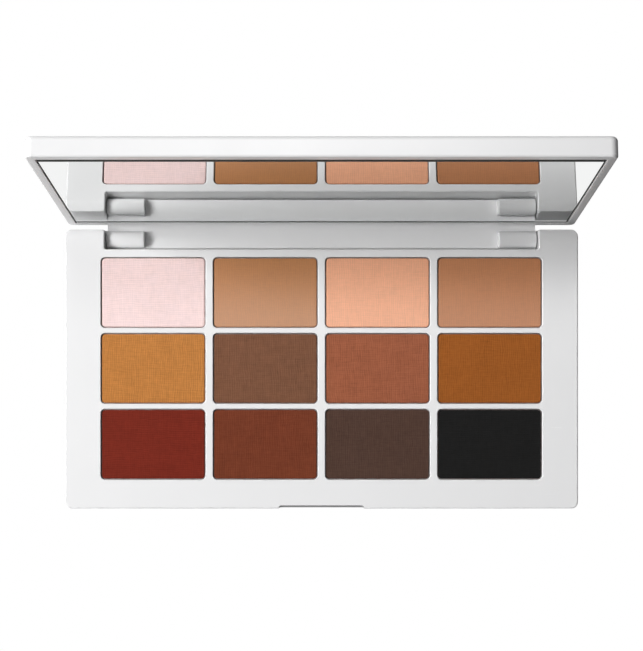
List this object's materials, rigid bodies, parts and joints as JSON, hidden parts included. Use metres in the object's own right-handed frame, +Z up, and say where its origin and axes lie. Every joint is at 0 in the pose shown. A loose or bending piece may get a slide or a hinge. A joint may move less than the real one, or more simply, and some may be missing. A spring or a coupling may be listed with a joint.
{
  "type": "eyeshadow palette",
  "caption": "Slim hinged case with rectangular pans of pressed powder set in its base, a full-width mirror in the lid and a thumb notch at the front edge.",
  "frame": {"origin": "centre of the flat bottom face that the case stands on", "axes": "+X along the length of the case, +Y from the front edge towards the hinge, +Z up out of the powders"},
  "size_m": [0.15, 0.1013, 0.0815],
  "materials": {
    "white_plastic": "gloss",
    "cover_plastic": "satin",
    "glue": "matte",
    "magnet": "plated",
    "pin_steel": "bright",
    "mirror_glass": "silvered",
    "tape": "matte",
    "pan_tin": "satin",
    "powder_ivory": "matte pressed powder",
    "powder_tan": "matte pressed powder",
    "powder_peach": "matte pressed powder",
    "powder_fawn": "matte pressed powder",
    "powder_amber": "matte pressed powder",
    "powder_umber": "matte pressed powder",
    "powder_sienna": "matte pressed powder",
    "powder_toffee": "matte pressed powder",
    "powder_brick": "matte pressed powder",
    "powder_maroon": "matte pressed powder",
    "powder_cocoa": "matte pressed powder",
    "powder_black": "matte pressed powder"
  },
  "bodies": {
    "base": {"base_frame": "white_plastic", "bottom_cover": "cover_plastic", "pan_glue": "glue", "base_magnets": "magnet", "hinge_pin_left": "pin_steel", "hinge_pin_right": "pin_steel", "pan_01": "pan_tin", "powder_01": "powder_ivory", "pan_02": "pan_tin", "powder_02": "powder_tan", "pan_03": "pan_tin", "powder_03": "powder_peach", "pan_04": "pan_tin", "powder_04": "powder_fawn", "pan_05": "pan_tin", "powder_05": "powder_amber", "pan_06": "pan_tin", "powder_06": "powder_umber", "pan_07": "pan_tin", "powder_07": "powder_sienna", "pan_08": "pan_tin", "powder_08": "powder_toffee", "pan_09": "pan_tin", "powder_09": "powder_brick", "pan_10": "pan_tin", "powder_10": "powder_maroon", "pan_11": "pan_tin", "powder_11": "powder_cocoa", "pan_12": "pan_tin", "powder_12": "powder_black"},
    "lid": {"lid_shell": "white_plastic", "mirror": "mirror_glass", "mirror_tape": "tape", "lid_magnets": "magnet"}
  },
  "joints": [
    {"name": "lid_hinge", "type": "hinge", "parent": "base", "child": "lid", "pos_m": [0, 0.038, 0.0045], "axis": [-1, 0, 0], "range_deg": [-99, 0]}
  ]
}
